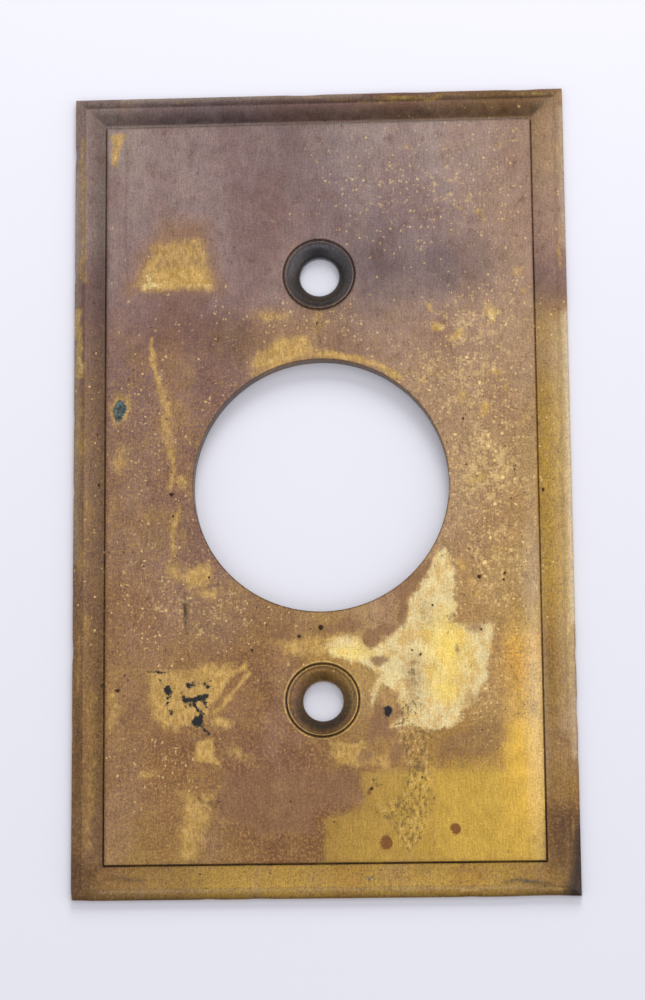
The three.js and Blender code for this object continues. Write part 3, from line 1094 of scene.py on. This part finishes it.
# The lightest and darkest that brushing and grain make the colour.
BRUSHED_SHADES = (0.74, 1.24)
DOT_WARP_PER_MM = 1.6
DOT_WARP_REACH = (0.7, 0.7, 0)
DOT_EDGE = 0.14
BUMP_STRENGTH = 0.55
BUMP_DEPTH = 0.03
FLOOR_TINTS = (linear((226, 226, 233)), linear((229, 229, 236)))
FLOOR_ROUGHNESS = 0.7
FLOOR_SPECULAR = 0.2


def tarnish_colour(graph, masks):
    """The tarnish itself: broad tones, drifting in hue, with mottling down to a fine grain."""
    tone = graph.colour_field("tone")
    lower = graph.ramp(graph.height_on_plate(), 30, 8, 0.15, 1)
    drift = graph.noise("drift")
    honey = graph.ramp(graph.noise("haze"), 0.48, 0.66, 0, 0.45)
    golden = graph.ramp(graph.noise("gold_grain"), 0.5, 0.58, 0, 0.75)
    dark = graph.ramp(graph.noise("dark_grain"), 0.5, 0.59, 0, 0.55)
    cooled = graph.mix(graph.ramp(drift, 0.48, 0.62, 0, 0.45), tone, LILAC, "SOFT_LIGHT")
    return graph.layered(cooled, (
        (graph.ramp(drift, 0.46, 0.34, 0, 0.3), ROSY_BROWN),
        (graph.times(honey, lower), HONEY),
        (graph.times(graph.field("glow"), 0.6), GLOW_BROWN),
        (graph.ramp(graph.noise("mottle"), 0.52, 0.66, 0, 0.5), TARNISH_DARK),
        (graph.times(golden, lower), DULL_GOLD),
        (graph.times(dark, lower), TARNISH_DARK),
        (masks["polished"], graph.mix(0.35, tone, POLISHED_GOLD)),
    ))


def worn_and_highlight_colours(graph, masks, colour):
    """The layers of bare metal over the tarnish, with painted highlights on the screw seats' bead
    rings and a painted reflection on the outer bands over all.
    """
    golden = graph.mix(graph.ramp(graph.noise("streaks"), 0.36, 0.62), WORN_GOLD, BARE_GOLD)
    blotched = graph.ramp(graph.noise("blotches"), 0.46, 0.6, 0, 0.9)
    pale = graph.mix(blotched, PALE_BRASS, BARE_GOLD)
    pale = graph.mix(graph.times(graph.field("yellow"), 0.8), pale, YELLOW_BRASS)
    return graph.layered(colour, (
        (masks["specks"], SPECK_GOLD),
        (masks["worn"], golden),
        (masks["etched_light"], SPECK_GOLD),
        # Rubbed outer band, and painted highlights on the screw seats' bead rings.
        (masks["edge_wear_and_highlight"], BARE_GOLD),
        (masks["pale"], pale),
        # Painted reflection: a pale strip painted along the outer bands.
        (graph.field("painted_sheen"), PAINTED_SHEEN_PALE),
    ))


def dirt_and_shade_colours(graph, masks, colour):
    """The layers of tarnish islands, corrosion, dirt, soot and painted shade over the bare metal."""
    crust = graph.mix(graph.ramp(graph.noise("crust"), 0.4, 0.6), TEAL_DARK, TEAL)
    return graph.layered(colour, (
        (masks["islands"], ISLAND_BROWN),
        (masks["etched"], ETCH_GREY),
        (masks["rust"], RUST_BROWN),
        # Smudges of oil and soot, with painted shade along edges, corners and the top cove.
        (graph.times(graph.field("smears_and_shade"), 0.9), SMEAR_AND_SHADE_DARK),
        (masks["verdigris"], crust),
        (graph.field("oil"), OIL_BLUE),
        # Dirt and painted shade in the step, the crease, the screw seats and on the hole's wall.
        (masks["grime_and_shade"], GRIME_AND_SHADE_BROWN),
        (graph.field("scratches"), SCRATCH_DARK),
        (graph.larger(masks["pits"], masks["dots"]), PIT_BROWN),
        (masks["soot"], SOOT_BLACK),
    ))


def brass_colour(graph, masks):
    """All the layers, with fine vertical brushing and grain over them."""
    colour = tarnish_colour(graph, masks)
    colour = worn_and_highlight_colours(graph, masks, colour)
    colour = dirt_and_shade_colours(graph, masks, colour)
    brushing = graph.times(graph.noise("brushing"), 0.4)
    grain = graph.times(graph.noise("grain"), 0.6)
    shade = graph.ramp(graph.math("ADD", brushing, grain), 0.38, 0.62, *BRUSHED_SHADES)
    return graph.vector_math("MULTIPLY", colour, shade)["Vector"]


def brass_masks(graph):
    """Crisp masks, from 0 to 1, out of the soft fields on the mesh."""
    noises = {name: graph.noise(name) for name in ("coarse", "grainy", "fine", "streaked")}
    masks = {}
    for name, (noise, *cut) in CUTS.items():
        masks[name] = graph.ragged(graph.field(name), noises[noise], *cut)
    uneven = graph.ramp(noises["fine"], 0.3, 0.6, 0.75, 1.1)
    masks["grime_and_shade"] = graph.ramp(graph.times(graph.field("grime_and_shade"), uneven), 0, 1)
    masks["pits"] = graph.ramp(graph.field("pits"), 0.2, 0.75)
    etching, etched = graph.noise("etching"), graph.field("etched")
    eaten, spared = graph.ramp(etching, 0.52, 0.6), graph.ramp(etching, 0.47, 0.4)
    masks["etched"] = graph.times(eaten, graph.ramp(etched, 0.3, 0.7, 0, 0.85))
    masks["etched_light"] = graph.times(spared, graph.ramp(etched, 0.3, 0.7, 0, 0.3))
    masks["specks"] = speck_mask(graph)
    pinholes = dots(graph, 1.5, graph.field("pocked"), 0.24)
    masks["dots"] = graph.larger(dots(graph, 0.8, 0.16, 0.1), pinholes)
    return masks


def speck_mask(graph):
    """Golden specks: clusters cut from a noise, with single round grains among them."""
    field = graph.field("specks")
    threshold = graph.math("MULTIPLY_ADD", field, -0.2, 0.68)
    above = graph.math("SUBTRACT", graph.noise("specks"), threshold)
    clusters = graph.ramp(above, -0.02, 0.06, 0, 0.38)
    large = dots(graph, 1.1, graph.ramp(field, 0.45, 0.9, 0, 0.5), 0.34)
    small = dots(graph, 2.1, graph.times(field, 0.8), 0.44)
    return graph.larger(clusters, graph.larger(large, small))


def dots(graph, per_mm, share, reach):
    """Small round dots, in the given share of the cells of a scattered pattern."""
    place = graph.millimetres()
    warp = graph.node("ShaderNodeTexNoise", {"Vector": place, "Scale": DOT_WARP_PER_MM})
    nudge = graph.vector_math("MULTIPLY", warp.outputs["Color"], DOT_WARP_REACH)["Vector"]
    moved = graph.vector_math("ADD", place, nudge)["Vector"]
    cells = graph.node("ShaderNodeTexVoronoi", {"Vector": moved, "Scale": per_mm}).outputs
    luck = graph.node("ShaderNodeSeparateColor", {0: cells["Color"]}).outputs
    chosen = graph.math("LESS_THAN", luck["Red"], share)
    size = graph.ramp(luck["Green"], 0, 1, reach * 0.4, reach)
    depth = graph.math("SUBTRACT", size, cells["Distance"])
    inside = graph.math("DIVIDE", depth, DOT_EDGE, clamp=True)
    strength = graph.ramp(luck["Blue"], 0, 1, 0.3, 1)
    return graph.times(graph.times(chosen, inside), strength)


def new_material(name):
    return Graph(bpy.data.materials.new(name), "Principled BSDF")


def dullness(graph, masks):
    """1 where soot, verdigris, rust, or the dirt and painted shade in the recesses, hide the metal.
    """
    dull = graph.math("ADD", masks["soot"], masks["verdigris"], clamp=True)
    dull = graph.larger(dull, graph.times(masks["grime_and_shade"], 0.7))
    return graph.larger(dull, graph.times(masks["rust"], 0.8))


def brass_roughness(graph, masks, dull):
    finish = graph.ramp(graph.noise("finish"), 0.3, 0.7, 0.3, 0.42)
    rough = graph.math("MULTIPLY_ADD", masks["worn"], -0.06, finish)
    rough = graph.larger(rough, graph.times(dull, 0.8))
    return graph.math("SUBTRACT", rough, graph.times(graph.field("oil"), 0.1))


def brass_relief(graph, masks):
    """The fine brushed and grainy relief, sunk where the metal is etched."""
    brushing = graph.times(graph.noise("brushed_relief"), 0.5)
    grain = graph.times(graph.noise("grain_relief"), 0.5)
    relief = graph.math("ADD", brushing, grain)
    relief = graph.math("SUBTRACT", relief, graph.times(masks["etched"], 0.6))
    inputs = {"Height": relief, "Strength": BUMP_STRENGTH, "Distance": BUMP_DEPTH * MM}
    return graph.node("ShaderNodeBump", inputs).outputs["Normal"]


def brass_material():
    graph = new_material("old_brass")
    masks = brass_masks(graph)
    dull = dullness(graph, masks)
    sockets = graph.shader.inputs
    graph.join(brass_colour(graph, masks), sockets["Base Color"])
    graph.join(graph.ramp(dull, 0, 1, 0.9, 0.1), sockets["Metallic"])
    graph.join(brass_roughness(graph, masks, dull), sockets["Roughness"])
    graph.join(brass_relief(graph, masks), sockets["Normal"])
    return graph.owner


def floor_material():
    graph = new_material("pale_floor")
    sockets = graph.shader.inputs
    graph.join(graph.mix(graph.noise("floor_cloud"), *FLOOR_TINTS), sockets["Base Color"])
    sockets["Roughness"].default_value = FLOOR_ROUGHNESS
    sockets["Specular IOR Level"].default_value = FLOOR_SPECULAR
    return graph.owner


# --- The scene -------------------------------------------------------------------------------

CREASE_ANGLE = math.radians(32)
FLOOR_SIZE = 3000
FLOOR_DROP = 0.02

# The camera hangs above the lower right of the plate and leans back towards the middle.
CAMERA_PLACE = (19.48, -68.57, 380.29)
CAMERA_TURN = Vector((0.1733, 0.0516, -0.0135))
SENSOR = 36.0
FOCAL_LENGTHS_PER_FRAME = 2.7569

# The surround's light, and (compass direction, degrees from vertical, reach, change) of its lobes.
SURROUND_COLOUR = (0.95, 0.95, 1.0, 1)
SURROUND_LIGHT = 0.74
SURROUND_LOBES = (
    ((0, 1), 15, 26, 0.6),
    ((0, 1), 46, 28, -0.72),
    ((1, -0.1), 30, 36, 0.2),
    ((1, -0.1), 74, 36, 0.6),
    ((0, -1), 30, 36, 0.3),
    ((0, -1), 72, 34, -0.5),
    ((-1, 0.1), 60, 40, -0.1),
)
LOBE_CORE = 0.4
WINDOW_PLACE = (60, 420, 280)
WINDOW_SIZE = 240
WINDOW_WATTS = 1.6


def add_object(name, data):
    made = bpy.data.objects.new(name, data)
    bpy.context.scene.collection.objects.link(made)
    return made


def add_plate():
    mesh = plate_mesh()
    store_patina_and_painted_light(mesh)
    mesh.materials.append(brass_material())
    mesh.shade_smooth()
    mesh.set_sharp_from_angle(angle=CREASE_ANGLE)
    plate = add_object("brass_plate", mesh)
    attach(plate, "root")
    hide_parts(PLATE_NODE)


def add_floor():
    half = FLOOR_SIZE / 2 * MM
    level = -FLOOR_DROP * MM
    mesh = bpy.data.meshes.new("floor")
    corners = [(-half, -half, level), (half, -half, level), (half, half, level), (-half, half, level)]
    mesh.from_pydata(corners, [], [(0, 1, 2, 3)])
    mesh.materials.append(floor_material())
    add_object("floor", mesh)


def add_window():
    """A square soft light that faces the plate and isn't mirrored in it."""
    lamp = bpy.data.lights.new("window", "AREA")
    lamp.shape = "SQUARE"
    lamp.size = WINDOW_SIZE * MM
    lamp.energy = WINDOW_WATTS
    window = add_object("window", lamp)
    window.location = Vector(WINDOW_PLACE) * MM
    window.rotation_euler = (-Vector(WINDOW_PLACE)).to_track_quat("-Z", "Y").to_euler()
    window.visible_glossy = False


def from_vertical(towards, degrees):
    """The direction that leans from straight up by some degrees towards a compass direction."""
    lean = math.radians(degrees)
    flat = Vector(towards).normalized() * math.sin(lean)
    return (flat.x, flat.y, math.cos(lean))


def add_world():
    """A pale surround that is brighter on some sides than on others, as in a room."""
    world = bpy.data.worlds.new("studio")
    bpy.context.scene.world = world
    graph = Graph(world, "Background")
    direction = graph.node("ShaderNodeTexCoord").outputs["Generated"]
    light = SURROUND_LIGHT
    for towards, lean, reach, change in SURROUND_LOBES:
        facing = graph.vector_math("DOT_PRODUCT", direction, from_vertical(towards, lean))["Value"]
        rim, core = math.cos(math.radians(reach)), math.cos(math.radians(reach * LOBE_CORE))
        lobe = graph.ramp(facing, rim, core, 0, change)
        light = graph.math("ADD", lobe, light)
    graph.join(light, graph.shader.inputs["Strength"])
    graph.shader.inputs["Color"].default_value = SURROUND_COLOUR


def add_camera():
    camera = bpy.data.cameras.new("camera")
    camera.sensor_width = SENSOR
    camera.lens = SENSOR * FOCAL_LENGTHS_PER_FRAME
    made = add_object("camera", camera)
    made.location = Vector(CAMERA_PLACE) * MM
    made.rotation_mode = "QUATERNION"
    made.rotation_quaternion = Quaternion(CAMERA_TURN.normalized(), CAMERA_TURN.length)
    bpy.context.scene.camera = made


bpy.context.scene.view_settings.view_transform = "Standard"
add_plate()
add_floor()
add_world()
add_window()
add_camera()
